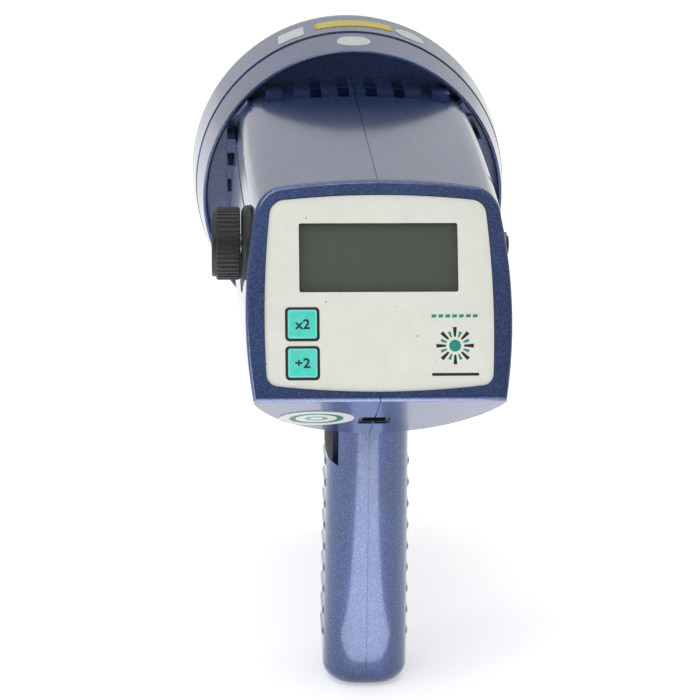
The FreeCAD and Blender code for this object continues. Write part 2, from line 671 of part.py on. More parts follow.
def front_ring():
    """The rounded ring that clamps the lens, with its four screws."""
    body = turned("bezel_ring", [
        ("lens_radius + 0.2", "seat_y"),
        ("flare_radius", "seat_y"),
        ("flare_radius - 0.8", "front_y - 3.5", "4"),
        ("flare_radius - 3.5", "front_y"),
        ("mouth_radius + 1.2", "front_y", "1.2"),
        ("mouth_radius", "front_y - 1.2"),
        ("mouth_radius", "lens_y + lens_thick"),
        ("lens_radius + 0.2", "lens_y + lens_thick"),
    ], LAMP_AXIS)
    tools = []
    screws = []
    for number in range(4):
        x, z = ring_spot("bezel_screw_circle", number)
        tools.append(rod(f"ring_hole_{number}", "1.1", "14", (x, "seat_y - 1", z), ALONG_Y))
        tools.append(rod(f"ring_head_hole_{number}", "1.75", "8", (x, "front_y - 3", z), ALONG_Y))
        shank = rod(f"ring_shank_{number}", "1.0", "10", (x, "front_y - 13", z), ALONG_Y)
        head = rod(f"ring_head_{number}", "1.65", "1.4", (x, "front_y - 3", z), ALONG_Y)
        slot = add("Part::Box", f"ring_slot_{number}", (f"{x} - 1.2", "front_y - 2.1", f"{z} - 0.2"),
                   Length="2.4", Width="1", Height="0.4")
        screws.append(cut(f"ring_screw_{number}", fuse(f"ring_pair_{number}", [shank, head]), slot))
    node(cut("front_ring", body, fuse("front_ring_holes", tools)), "front_ring")
    node(group("ring_screw_set", screws), "ring_screws")


def lens_and_seal():
    lens = turned("lens_disc", [
        ("0", "lens_y"),
        ("lens_radius", "lens_y"),
        ("lens_radius", "lens_y + lens_thick"),
        ("mouth_radius - 0.8", "lens_y + lens_thick"),
        ("mouth_radius - 2", "lens_y + lens_thick + 1.2"),
        ("0", "lens_y + lens_thick + 1.2"),
    ], LAMP_AXIS)
    node(lens, "lens")
    seal = turned("seal_ring", [
        ("seat_bore", "seat_y + bowl_skin"),
        ("lens_radius", "seat_y + bowl_skin"),
        ("lens_radius", "lens_y"),
        ("seat_bore", "lens_y"),
    ], LAMP_AXIS)
    node(seal, "lens_gasket")


def reflector():
    """A deep spun bowl with a rolled rim that sits under the lens gasket."""
    body = turned("bowl", [
        ("bowl_hole", "bowl_floor_y", "56"),
        ("33", "bowl_floor_y + 14.2", "118"),
        ("bowl_radius + 0.9", "seat_y"),
        ("lens_radius - 0.2", "seat_y"),
        ("lens_radius - 0.2", "seat_y + bowl_skin"),
        ("bowl_radius", "seat_y + bowl_skin", "-117"),
        ("32.3", "bowl_floor_y + 14.9", "-55"),
        ("bowl_hole", "bowl_floor_y + bowl_skin"),
    ], LAMP_AXIS)
    node(body, "reflector")


def flash_lamp():
    """A bent glass flash tube on a moulded base, with its ignition coil beside it."""
    tube = new_body("tube")
    path = sketch(tube, "tube_path")
    arch = "tube_half_span"
    points = [("-tube_half_span", "lamp_base_top"), ("-tube_half_span", "tube_leg_top"),
              ("tube_half_span", "tube_leg_top"), ("tube_half_span", "lamp_base_top")]
    left, shoulder, far, right = [Vector(value(x), value(y), 0) for x, y in points]
    edges = [path.addGeometry(Part.LineSegment(left, shoulder), False),
             path.addGeometry(arc_between(far, shoulder, value(arch)), False),
             path.addGeometry(Part.LineSegment(far, right), False)]
    for edge, end, (x, y) in ((edges[0], 1, points[0]), (edges[0], 2, points[1]),
                              (edges[2], 1, points[2]), (edges[2], 2, points[3])):
        for kind, expression in (("DistanceX", x), ("DistanceY", y)):
            tie = path.addConstraint(Sketcher.Constraint(kind, -1, 1, edge, end, value(expression)))
            path.setExpression(f"Constraints[{tie}]", cells(expression))
    path.addConstraint(Sketcher.Constraint("Coincident", edges[0], 2, edges[1], 2))
    path.addConstraint(Sketcher.Constraint("Tangent", edges[1], 1, edges[2], 1))
    profile = sketch(tube, "tube_profile", "XZ_Plane", "-lamp_base_top")
    ring(profile, "-tube_half_span", "0", "tube_radius")
    pipe = tube.newObject("PartDesign::AdditivePipe", "tube_pipe")
    pipe.Profile = (profile, [""])
    pipe.Spine = (path, ["Edge1", "Edge2", "Edge3"])
    node(place(tube, LAMP_AXIS), "flash_tube")

    base = turned("lamp_base_turned", [
        ("0", "web_y + web_thick"),
        ("19.5", "web_y + web_thick"),
        ("19.5", "web_y + web_thick + 2.4"),
        ("12.6", "web_y + web_thick + 2.4"),
        ("11.4", "web_y + web_thick + 4"),
        ("11.4", "lamp_base_top - 1"),
        ("10.4", "lamp_base_top"),
        ("0", "lamp_base_top"),
    ], LAMP_AXIS)
    holes = []
    screws = []
    for side in (-1, 1):
        x = f"{side}*16"
        holes.append(rod(f"base_bore_{side + 1}", "1.1", "8", (x, "web_y", "lamp_z"), ALONG_Y))
        shank = rod(f"base_shank_{side + 1}", "1.0", "5.4", (x, "web_y - 0.5", "lamp_z"), ALONG_Y)
        head = rod(f"base_head_{side + 1}", "1.9", "1.4", (x, "web_y + web_thick + 2.4", "lamp_z"), ALONG_Y)
        screws.append(fuse(f"base_screw_{side + 1}", [shank, head]))
    node(cut("lamp_base_body", base, fuse("lamp_base_holes", holes)), "lamp_base")
    node(group("base_screw_set", screws), "lamp_base_screws")
    coil_x, coil_y = "36", "web_y + web_thick"
    former = rod("coil_former", "2.2", "15", (coil_x, coil_y, "lamp_z"), ALONG_Y)
    flanges = [
        rod(f"coil_flange_{k}", "5.4", "1.2", (coil_x, f"{coil_y} + {k}*13", "lamp_z"), ALONG_Y)
        for k in (0, 1)
    ]
    winding = rod("coil_winding", "4.6", "12", (coil_x, f"{coil_y} + 1.1", "lamp_z"), ALONG_Y)
    node(fuse("coil", [former, winding] + flanges), "ignition_coil")


# ---------------------------------------------------------------- display face

def face_stack():
    """Label, panel, window, display, key mat and keys, one behind another."""
    key_hole = "key_size + 2*key_gap"
    window = ("0", "display_v", "display_wide", "display_high", "display_round")
    keys = [("key_upper_v", "key_times_two"), ("key_lower_v", "key_divide_two")]
    key_holes = [("key_u", v, key_hole, key_hole, "key_round + key_gap") for v, _ in keys]
    label_out = "-label_sink"
    panel_out = "-label_sink - label_thick"
    flange_out = "-face_wall"
    label = face_plate("label_sheet", "0", "label_thick", label_out, [window] + key_holes)
    node(label, "face_label")
    plug = face_plate("panel_plug", "0", "panel_thick", panel_out, [window] + key_holes)
    flange = face_plate("panel_flange_plate", "panel_grow", "panel_flange", flange_out,
                        [window] + key_holes)
    below = tilted_box("panel_trim", ("160", "160", "60"), ("-80", "-40", "wall + 0.15 - 60"),
                       belly_turn(), LIP)
    node(cut("panel_cut", fuse("panel_joined", [plug, flange]), below), "rear_panel")

    pane = new_body("window_pane")
    outline(sketch(pane, "pane_profile"), rounded(*window))
    pad(pane, pane.Group[0], "1.0", back=True)
    node(on_face(pane, "-label_sink - label_thick - 0.2"), "display_window")

    module = new_body("display_block")
    glass = sketch(module, "display_glass")
    outline(glass, rounded("0", "display_v", "display_wide + 3", "display_high + 7", "0.8"))
    pad(module, glass, "2.6", back=True)
    node(on_face(module, "-face_wall - panel_flange"), "display_module")

    mat = new_body("key_mat_sheet")
    middle = "(key_upper_v + key_lower_v)/2"
    outline(sketch(mat, "mat_profile"), rounded("key_u", middle, "15", "25.6", "1.5"))
    pad(mat, mat.Group[0], "1.3", back=True)
    node(on_face(mat, "-face_wall - panel_flange - 1.3"), "key_mat")

    for v, name in keys:
        key = new_body(name + "_cap")
        top = sketch(key, name + "_top")
        outline(top, rounded("key_u", v, "key_size", "key_size", "key_round"))
        pad(key, top, "face_wall + panel_flange - label_sink + 0.35", back=True)
        foot = sketch(key, name + "_foot", "XY_Plane", "label_sink - 0.3 - face_wall - panel_flange")
        outline(foot, rounded("key_u", v, "key_size + 1.2", "key_size + 1.2", "key_round"))
        pad(key, foot, "0.6", back=True)
        doc.recompute()
        cap = key.Tip
        rim = [f"Edge{index}" for index, edge in enumerate(cap.Shape.Edges, start=1)
               if all(abs(vertex.Z) < 0.001 for vertex in edge.Vertexes)]
        bevel = key.newObject("PartDesign::Fillet", name + "_round")
        bevel.Base = (cap, rim)
        bind(bevel, Radius="0.3")
        node(on_face(key, "-label_sink + 0.25"), name)

    board = new_body("control_board_sheet")
    outline(sketch(board, "control_board_profile"), rounded("0", "33.5", "62", "52", "2"))
    pad(board, board.Group[0], "board_thick", back=True)
    on_face(board, "-face_wall - panel_flange - 2.6")
    chips = []
    for u, v, wide, high in ((-8, 30, 12, 12), (14, 26, 9, 14), (14, 46, 8, 6), (-20, 50, 7, 7)):
        size = (wide, high, 1.8)
        corner = (u, v, "-face_wall - panel_flange - 2.6 - board_thick - 1.7")
        chips.append(tilted_box(f"chip_{len(chips)}", size, corner, face_turn(), LIP))
    node(fuse("control_board_parts", [board] + chips), "control_board")


# ---------------------------------------------------------------- speed knob

def speed_knob():
    """A knurled knob on a rotary encoder's shaft, with a fixed seat behind it."""
    seat = turned("seat_turned", [
        ("0", "0"), ("seat_radius", "0"), ("seat_radius", "seat_thick - seat_round", "seat_round"),
        ("seat_radius - seat_round", "seat_thick"), ("0", "seat_thick"),
    ], ("knob_seat_x", "knob_y", "seat_z"), Rotation(Vector(0, 0, 1), 90))
    opening = rod("seat_opening", "4.3", "10", ("knob_seat_x - 6", "knob_y", "knob_z"), ALONG_X)
    node(cut("seat_cut", seat, opening), "knob_seat")

    start = "knob_seat_x - seat_thick - knob_gap"
    blank = turned("knob_blank", [
        ("shaft_radius", "0"), ("knob_radius - 0.5", "0"), ("knob_radius", "0.5"),
        ("knob_radius", "knob_long - 0.5"), ("knob_radius - 0.5", "knob_long"),
        ("cap_radius - 2.4", "knob_long"), ("cap_radius - 2.4", "knob_long - 1"),
        ("shaft_radius", "knob_long - 1"),
    ], (start, "knob_y", "knob_z"), Rotation(Vector(0, 0, 1), 90))
    grooves = []
    for number in range(int(value("knurl_count"))):
        angle = math.radians(360 * number / value("knurl_count"))
        at = (f"{start} - knob_long - 1",
              f"knob_y + (knob_radius + 0.1)*{math.cos(angle):.6f}",
              f"knob_z + (knob_radius + 0.1)*{math.sin(angle):.6f}")
        grooves.append(rod(f"knurl_{number}", "knurl_radius", "knob_long + 2", at, ALONG_X))
    node(cut("knob_cut", blank, fuse("knurls", grooves)), "knob")

    cap = turned("cap_turned", [
        ("0", "0"), ("cap_radius", "0"), ("cap_radius", "cap_thick - 0.8", "0.8"),
        ("cap_radius - 0.8", "cap_thick"), ("cap_radius - 2", "cap_thick"),
        ("cap_radius - 2.4", "cap_thick - 0.35"), ("0", "cap_thick - 0.35"),
    ], (f"{start} - knob_long", "knob_y", "knob_z"), Rotation(Vector(0, 0, 1), 90))
    node(cap, "knob_cap")

    shaft_at = (f"{start} - knob_long + 1", "knob_y", "knob_z")
    node(rod("shaft", "shaft_radius", "18", shaft_at, ALONG_X), "encoder_shaft")
    bush_at = ("knob_seat_x - 2.6", "knob_y", "knob_z")
    bush = rod("encoder_bush", "4.2", "seat_thick + 1.5", bush_at, ALONG_X)
    block = add("Part::Box", "encoder_block",
                ("knob_seat_x + 1.9", "knob_y - encoder_size/2", "knob_z - encoder_size/2"),
                Length="encoder_deep", Width="encoder_size", Height="encoder_size")
    bore = rod("encoder_bore", "shaft_radius + shaft_fit", "12.0",
               ("knob_seat_x - 4", "knob_y", "knob_z"), ALONG_X)
    node(cut("encoder_cut", fuse("encoder_pair", [bush, block]), bore), "encoder")


# ---------------------------------------------------------------- trigger and lock button

def trigger_parts():
    """A pivoted trigger on its pin, its return spring and the switch behind it."""
    lever = new_body("trigger_lever")
    side = sketch(lever, "trigger_side", "YZ_Plane")
    outline(side, [
        ("pivot_y - 4.4", "pivot_z", "4.4"),
        ("pivot_y - 1", "pivot_z - 4.285"),
        ("pivot_y - 1", "slot_low_z + 2"),
        ("pivot_y + 1", "slot_low_z + 0.8"),
        ("pivot_y + 12.2", "slot_low_z + 0.8", "2.4"),
        ("pivot_y + 14.2", "slot_low_z + 4.2", "-24"),
        ("pivot_y + 10", "pivot_z - 2", "6.5"),
        ("pivot_y + 5.5", "pivot_z + 4.4"),
        ("pivot_y", "pivot_z + 4.4", "4.4"),
    ])
    ring(side, "pivot_y", "pivot_z", "pin_radius + pin_fit")
    block = pad(lever, side, "trigger_wide", both=True)
    doc.recompute()
    front = [f"Edge{index}" for index, edge in enumerate(block.Shape.Edges, start=1)
             if edge.CenterOfMass.y > value("pivot_y + 7") and abs(edge.CenterOfMass.x) > 1
             and edge.CenterOfMass.z < value("pivot_z")]
    rounding = lever.newObject("PartDesign::Fillet", "trigger_round")
    rounding.Base = (block, front)
    bind(rounding, Radius="1.8")
    node(lever, "trigger")

    node(rod("pin", "pin_radius", "pin_long - 0.6", ("-pin_long/2 + 0.3", "pivot_y", "pivot_z"), ALONG_X),
         "trigger_pin")

    spring = new_body("spring_coil")
    wire = spring.newObject("PartDesign::AdditiveHelix", "spring_wire")
    section = sketch(spring, "spring_section", "XY_Plane")
    ring(section, "spring_radius", "spring_wire", "spring_wire")
    wire.Profile = (section, [""])
    wire.ReferenceAxis = (section, ["V_Axis"])
    wire.Mode = "pitch-height-angle"
    bind(wire, Pitch="spring_pitch", Height="spring_high")
    node(place(spring, ("0", "4.4", "slot_low_z + 6.5")), "trigger_spring")

    case = box("switch_case", ("6.4", "12", "15"), ("0", "-4.5", "68"))
    button = box("switch_button", ("3", "1.8", "2.4"), ("0", "7.5", "74.5"))
    pins = [box(f"switch_pin_{k}", ("0.8", "3", "2"), ("0", "-7.5", f"70 + {k}*4.6")) for k in range(3)]
    spring_seat = box("spring_seat", ("9", "1.6", "13"), ("0", "2.6", "slot_low_z + 0.2"))
    post = box("spring_post", ("6.4", "13.6", "9.8"), ("0", "-9.5", "slot_low_z + 1"))
    node(fuse("switch_parts", [case, button, spring_seat, post] + pins), "trigger_switch")


def lock_button():
    """The black slide on the left shoulder of the handle that holds the trigger in."""
    disc = rod("lock_disc", "lock_radius", "8", ("lock_inner_x - 8", "lock_y", "lock_z"), ALONG_X)
    below = box("lock_below", ("60", "60", "40"), ("0", "-40", "lock_top_z - 40"))
    shape = common("lock_limited", disc, below)
    outer = handle("lock_outer", "-lock_proud", "0")
    button = common("lock_form", shape, outer)
    node(button, "lock_button")


# ---------------------------------------------------------------- sockets and screws

def jacks():
    """Two 3.5 mm sockets on the right side, each with its ring nut."""
    for letter, name in (("a", "input_jack"), ("b", "output_jack")):
        y, z = f"jack_{letter}_y", f"jack_{letter}_z"
        block = add("Part::Box", name + "_block", ("jack_face_x - 14", f"{y} - 4.2", f"{z} - 4.2"),
                    Length="11.0", Width="8.4", Height="8.4")
        thread = rod(name + "_thread", "jack_thread", "6.0", ("jack_face_x - 3.5", y, z), ALONG_X)
        bore = rod(name + "_bore", "jack_bore", "14", ("jack_face_x - 11", y, z), ALONG_X)
        node(cut(name + "_cut", fuse(name + "_pair", [block, thread]), bore), name)
        nut = rod(name + "_nut_blank", "jack_nut", "1.8", ("jack_face_x + 0.05", y, z), ALONG_X)
        opening = rod(name + "_nut_bore", "jack_thread", "6", ("jack_face_x - 1", y, z), ALONG_X)
        slots = [
            add("Part::Box", f"{name}_slot_{k}",
                ("jack_face_x + 1.2", f"{y} - 0.5 + {-5 * k}", f"{z} - 0.5 + {-5 * (1 - k)}"),
                Length="2", Width=f"1 + {10 * k}", Height=f"1 + {10 * (1 - k)}")
            for k in (0, 1)
        ]
        node(cut(name + "_nut_cut", nut, fuse(name + "_nut_tools", [opening] + slots)), name + "_nut")


def charge_socket():
    """The rectangular charging socket in the sloping belly."""
    shell = new_body("port_shell")
    outer = sketch(shell, "port_outer", "XY_Plane", "0.6")
    outline(outer, rounded("0", "port_down", "port_wide", "port_long", "1.1"))
    pad(shell, outer, "8.4")
    on_belly(shell)
    hollow = new_body("port_hollow")
    inner = sketch(hollow, "port_inner", "XY_Plane", "-2")
    outline(inner, rounded("0", "port_down", "port_wide - 2.4", "port_long - 2.6", "0.8"))
    pad(hollow, inner, "9.4")
    on_belly(hollow)
    contacts = [
        tilted_box(f"port_contact_{k}", ("0.9", "1.4", "6"),
                   (f"{k}*2.4 - 0.45", "port_down + port_long/2 - 2.4", "2.2"), belly_turn(), LIP)
        for k in (-1, 0, 1)
    ]
    node(fuse("port_joined", [cut("port_cut", shell, hollow)] + contacts), "charge_socket")


def tripod_socket():
    """A hexagonal brass insert with a quarter inch thread in the foot of the handle."""
    bar = hexagon("insert_bar", "tripod_outer", "tripod_long")
    flange = hexagon("insert_flange", "tripod_flange - 0.1", "1.15")
    bore = rod("insert_bore", "tripod_bore", "tripod_long + 2", ("0", "0", "-1"))
    node(cut("insert_cut", fuse("insert_joined", [bar, flange]), bore), "tripod_insert")


def casing_screws():
    """The screws that join the casing halves, and those that hold the lamp housing."""
    screws = []
    for number, (y, z, head_x) in enumerate(CASING_SCREWS):
        shank = rod(f"shank_{number}", "screw_radius", f"{head_x} + screw_reach",
                    ("-screw_reach", y, z), ALONG_X)
        head = rod(f"head_{number}", "screw_head", "1.9", (head_x, y, z), ALONG_X)
        cross = [
            add("Part::Box", f"cross_{number}_{k}",
                (f"{head_x} + 0.7", f"{y} - 0.4 - {1.2 * k}", f"{z} - 0.4 - {1.2 * (1 - k)}"),
                Length="2", Width=f"0.8 + {2.4 * k}", Height=f"0.8 + {2.4 * (1 - k)}")
            for k in (0, 1)
        ]
        screws.append(cut(f"casing_screw_{number}", fuse(f"screw_pair_{number}", [shank, head]),
                          fuse(f"cross_{number}", cross)))
    node(group("casing_screw_set", screws), "casing_screws")
    screws = []
    for number, (x, z) in enumerate(HOUSING_SCREWS):
        tip = (x, "web_y + web_thick - 12", z)
        shank = rod(f"housing_shank_{number}", "screw_radius", "12", tip, ALONG_Y)
        head = rod(f"housing_head_{number}", "screw_head", "1.8", (x, "web_y + web_thick", z), ALONG_Y)
        screws.append(fuse(f"housing_screw_{number}", [shank, head]))
    node(group("housing_screw_set", screws), "housing_screws")


def stickers():
    """Thin plain stickers: four on the lamp housing's crown and a round one on the belly."""
    def band(name, low, high, lift):
        """A thin skin over the housing between two stations, lift off its surface."""
        def skin_radius(y):
            slope = "(flare_radius - groove_radius)/(flare_y - groove_y)"
            rear = "(groove_radius - rim_radius - 0.3)/(groove_y - rim_y)"
            if value(y) > value("groove_y"):
                return f"groove_radius + 0.05 + {slope}*({y} - groove_y)"
            return f"rim_radius + {rear}*({y} - rim_y)"
        return turned(name, [
            (f"{skin_radius(low)} + {lift} - 1.5", low),
            (f"{skin_radius(low)} + {lift}", low),
            (f"{skin_radius(high)} + {lift}", high),
            (f"{skin_radius(high)} + {lift} - 1.5", high),
        ], LAMP_AXIS)
    doc.recompute()
    outer = band("outer_sticker_band", "groove_y + 3", "flare_y - 3", "0.12")
    inner = band("inner_sticker_band", "rim_y + 2", "groove_y - 2", "0.12")
    outer_shapes = [
        box("strip_sticker", ("30", "8.5", "60"), ("1.5", "groove_y + 9", "lamp_z + 30")),
        box("square_sticker", ("9.6", "12", "60"), ("-22.5", "groove_y + 6", "lamp_z + 30")),
        rod("oval_sticker", "5.6", "60", ("23", "groove_y + 12", "lamp_z + 30")),
    ]
    inner_shapes = [rod("round_sticker", "6.3", "60", ("0.3", "rim_y + 11.5", "lamp_z + 30"))]
    pieces = [common("outer_stickers", outer, group("outer_sticker_set", outer_shapes)),
              common("inner_stickers", inner, inner_shapes[0])]
    housing = [item for item in nodes if item.Label == "lamp_housing"][0]
    node(cut("crown_stickers", group("sticker_set", pieces), housing), "crown_labels")
    disc = new_body("belly_disc")
    ring(sketch(disc, "belly_circle", "XY_Plane", "-0.2"), "-19.3", "29.5", "12.4")
    pad(disc, disc.Group[0], "0.2")
    node(on_belly(disc), "belly_label")


# ---------------------------------------------------------------- power parts

def power_parts():
    """Battery tray and cells, the power board, its transformer and the flash capacitor."""
    pitch = "(2*cell_radius + cell_gap)"
    cells_made = []
    for column in (-1, 0, 1):
        for row in (0, 1):
            at = (f"{column}*{pitch}", f"cell_y + {row}*(cell_long + 1.6)", "cell_z")
            can = rod(f"cell_can_{len(cells_made)}", "cell_radius", "cell_long - 1.4", at, ALONG_Y)
            tip = rod(f"cell_tip_{len(cells_made)}", "4", "1.4",
                      (at[0], f"{at[1]} + cell_long - 1.4", at[2]), ALONG_Y)
            cells_made.append(fuse(f"cell_{len(cells_made)}", [can, tip]))
    node(group("cell_set", cells_made), "battery_cells")
    outer = box("tray_outer", ("72.5", "2*cell_long + 7.2", "16"),
                ("0", "cell_y - 2.8", "cell_z - cell_radius - 1.8"))
    inner = box("tray_inner", ("69.5", "2*cell_long + 2.6", "30"),
                ("0", "cell_y - 0.5", "cell_z - cell_radius"))
    parts = [cut("tray_cut", outer, inner)]
    for side in (-1, 1):
        at = (f"{side}*24", "cell_y", "cell_z - cell_radius - 14.6")
        parts.append(box(f"tray_foot_{side + 1}", ("5", "2*cell_long", "14"), at))
        for row, y in enumerate(("cell_y - 2.8", "cell_y + 2*cell_long + 2.1")):
            at = (f"{side}*22", y, "cell_z - cell_radius")
            size = ("7", "2.3", "power_board_z - cell_z + cell_radius")
            parts.append(box(f"tray_pillar_{side + 1}_{row}", size, at))
    node(fuse("tray_joined", parts), "battery_tray")
    board = box("power_board_sheet", ("66", "98", "board_thick"), ("0", "0", "power_board_z"))
    parts = [board]
    chips = ((24, 8, 10, 12, 6), (22, 84, 8, 10, 9), (-4, 6, 14, 10, 4))
    for number, (x, y, wide, deep, high) in enumerate(chips):
        parts.append(box(f"power_chip_{number}", (wide, deep, high), (x, y, "power_board_z + 1.5")))
    node(fuse("power_board_parts", parts), "power_board")
    top = "power_board_z + board_thick"
    can = rod("capacitor_can", "12.5", "46", ("-18", "36", f"{top} + 12.5"), ALONG_Y)
    end = rod("capacitor_end", "11.5", "1.5", ("-18", "82", f"{top} + 12.5"), ALONG_Y)
    node(fuse("capacitor", [can, end]), "flash_capacitor")
    core = box("transformer_core", ("26", "8", "24"), ("16", "50", top))
    bobbin = box("transformer_bobbin", ("18", "20", "17"), ("16", "44", f"{top} + 3.5"))
    node(fuse("transformer", [core, bobbin]), "power_transformer")


# ---------------------------------------------------------------- build and write

BUILDERS = [
    casing, lamp_housing, front_ring, lens_and_seal, reflector, flash_lamp, face_stack,
    speed_knob, trigger_parts, lock_button, jacks, charge_socket, tripod_socket,
    casing_screws, stickers, power_parts,
]
for builder in BUILDERS:
    builder()
doc.recompute()

for thing in doc.Objects:
    broken = {"Invalid", "Error"} & set(thing.State)
    if broken:
        raise RuntimeError(f"{thing.Label} failed to build: {sorted(broken)}")
for thing in nodes:
    if thing.Shape.isNull() or not thing.Shape.isValid() or not thing.Shape.Solids:
        raise RuntimeError(f"{thing.Label} has no valid solid")

os.makedirs("parts", exist_ok=True)
for thing in nodes:
    thing.Shape.exportStep(f"parts/{thing.Label}.step")
print(f"{len(nodes)} sub-parts written")
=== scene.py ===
import json
import math

import bpy
from mathutils import Matrix, Vector


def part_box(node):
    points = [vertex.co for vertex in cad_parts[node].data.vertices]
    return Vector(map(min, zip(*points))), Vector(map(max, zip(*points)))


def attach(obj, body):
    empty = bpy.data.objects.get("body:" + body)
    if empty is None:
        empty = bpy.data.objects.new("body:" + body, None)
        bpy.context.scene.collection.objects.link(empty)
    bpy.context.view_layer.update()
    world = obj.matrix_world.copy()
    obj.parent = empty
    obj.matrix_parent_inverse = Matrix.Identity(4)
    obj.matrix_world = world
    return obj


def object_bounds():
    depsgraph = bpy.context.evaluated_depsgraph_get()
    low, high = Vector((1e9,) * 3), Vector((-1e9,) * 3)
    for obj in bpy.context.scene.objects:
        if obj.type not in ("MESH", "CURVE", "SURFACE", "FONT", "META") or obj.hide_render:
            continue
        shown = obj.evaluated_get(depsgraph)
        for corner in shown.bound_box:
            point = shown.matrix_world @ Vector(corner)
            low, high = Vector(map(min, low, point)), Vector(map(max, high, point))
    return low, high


# A hand-held timing light. The CAD frame gives every moving and fixed part its shape; this script gives
# them their finishes, adds the printed and fine pieces, and sets the studio. Metres, in the CAD's frame.

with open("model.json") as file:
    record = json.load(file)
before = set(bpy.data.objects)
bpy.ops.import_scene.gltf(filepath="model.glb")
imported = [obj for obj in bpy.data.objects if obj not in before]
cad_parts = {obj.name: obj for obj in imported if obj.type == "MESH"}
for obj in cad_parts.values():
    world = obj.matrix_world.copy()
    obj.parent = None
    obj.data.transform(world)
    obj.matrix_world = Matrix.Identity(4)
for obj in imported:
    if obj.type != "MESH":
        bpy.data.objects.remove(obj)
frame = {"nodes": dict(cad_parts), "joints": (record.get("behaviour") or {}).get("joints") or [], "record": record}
CAD_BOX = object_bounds()
BODIES = {node: body for body, nodes in frame["record"]["behaviour"]["bodies"].items() for node in nodes}
JOINTS = {joint["name"]: joint for joint in frame["joints"]}
MM = 0.001

# The display face leans; a key's joint points straight into it.
INTO_FACE = Vector(JOINTS["times_two_press"]["axis"]).normalized()
OUT = -INTO_FACE
ACROSS = Vector((1, 0, 0))
UPSLOPE = OUT.cross(ACROSS).normalized()


def span(node, axis):
    """Lowest and highest value of a CAD node's corners along an axis."""
    reach = [corner.co.dot(axis) for corner in frame["nodes"][node].data.vertices]
    return min(reach), max(reach)


def middle(node, axis):
    """Half way between a CAD node's lowest and highest value along an axis."""
    low, high = span(node, axis)
    return (low + high) / 2


def on_face(u, v, w):
    """The point at u across, v up the slope and w out of the display face."""
    return ACROSS * u + UPSLOPE * v + OUT * w


FACE_TURN = Matrix((ACROSS, UPSLOPE, OUT)).transposed()


# ---------------------------------------------------------------- materials

class Nodes:
    """A material's node tree, built with short calls; sizes are in metres."""

    def __init__(self, name):
        self.material = bpy.data.materials.new(name)
        self.material.use_nodes = True
        self.tree = self.material.node_tree
        self.shader = next(item for item in self.tree.nodes if item.type == "BSDF_PRINCIPLED")
        self.place = self.tree.nodes.new("ShaderNodeTexCoord").outputs["Object"]

    def feed(self, socket, source):
        """Links a socket to another node's output, or sets it to a value or a colour."""
        if isinstance(source, bpy.types.NodeSocket):
            self.tree.links.new(source, socket)
        elif isinstance(source, (tuple, list, Vector)) and socket.type == "RGBA":
            socket.default_value = (*source[:3], 1.0)
        else:
            socket.default_value = source

    def math(self, kind, first, second=0.0):
        made = self.tree.nodes.new("ShaderNodeMath")
        made.operation = kind
        self.feed(made.inputs[0], first)
        self.feed(made.inputs[1], second)
        return made.outputs[0]

    def vector(self, kind, first, second=None):
        made = self.tree.nodes.new("ShaderNodeVectorMath")
        made.operation = kind
        self.feed(made.inputs[0], first)
        if second is not None:
            self.feed(made.inputs[1], second)
        return made.outputs["Value"] if kind in ("LENGTH", "DOT_PRODUCT") else made.outputs["Vector"]

    def along(self, axis):
        """How far a point lies along an axis."""
        return self.vector("DOT_PRODUCT", self.place, tuple(axis))

    def noise(self, size, detail=2.0, rough=0.5, stretch=(1, 1, 1)):
        """Soft noise whose features have about a size."""
        made = self.tree.nodes.new("ShaderNodeTexNoise")
        self.feed(made.inputs["Vector"], self.vector("MULTIPLY", self.place, stretch))
        made.inputs["Scale"].default_value = 1 / size
        made.inputs["Detail"].default_value = detail
        made.inputs["Roughness"].default_value = rough
        return made.outputs["Fac"]

    def flecks(self, size):
        """A random value for each small cell."""
        made = self.tree.nodes.new("ShaderNodeTexVoronoi")
        self.feed(made.inputs["Vector"], self.place)
        made.inputs["Scale"].default_value = 1 / size
        split = self.tree.nodes.new("ShaderNodeSeparateColor")
        self.feed(split.inputs[0], made.outputs["Color"])
        return split.outputs[0]

    def step(self, source, low, high, bottom=0.0, top=1.0):
        """Maps low to bottom and high to top, and holds beyond them."""
        made = self.tree.nodes.new("ShaderNodeMapRange")
        self.feed(made.inputs["Value"], source)
        for name, number in (("From Min", low), ("From Max", high), ("To Min", bottom), ("To Max", top)):
            made.inputs[name].default_value = number
        return made.outputs["Result"]

    def drift(self, size, low=0.0, high=1.0, detail=3.0):
        """A value that drifts from low to high in soft patches of a size."""
        return self.step(self.noise(size, detail), 0.3, 0.7, low, high)

    def blend(self, amount, first, second):
        made = self.tree.nodes.new("ShaderNodeMix")
        made.data_type = "RGBA"
        self.feed(made.inputs["Factor"], amount)
        self.feed(made.inputs[6], first)
        self.feed(made.inputs[7], second)
        return made.outputs[2]

    def bump(self, height, depth):
        """Raises the surface by a height from 0 to 1, times a depth."""
        made = self.tree.nodes.new("ShaderNodeBump")
        made.inputs["Distance"].default_value = depth
        self.feed(made.inputs["Height"], height)
        self.feed(self.shader.inputs["Normal"], made.outputs["Normal"])

    def finish(self, **values):
        """Feeds the shader's sockets, named with _ for a space, and gives the material."""
        for name, source in values.items():
            self.feed(self.shader.inputs[name.replace("_", " ")], source)
        return self.material

    def rounded_square(self, centre, half, corner):
        """The distance to a rounded square's edge in the plane of the display face, inside negative."""
        parts = []
        for axis, at in ((ACROSS, centre[0]), (UPSLOPE, centre[1])):
            off = self.math("ABSOLUTE", self.math("SUBTRACT", self.along(axis), at))
            parts.append(self.math("MAXIMUM", self.math("SUBTRACT", off, half - corner), 0.0))
        both = self.math("ADD", self.math("MULTIPLY", parts[0], parts[0]),
                         self.math("MULTIPLY", parts[1], parts[1]))
        return self.math("SUBTRACT", self.math("SQRT", both), corner)


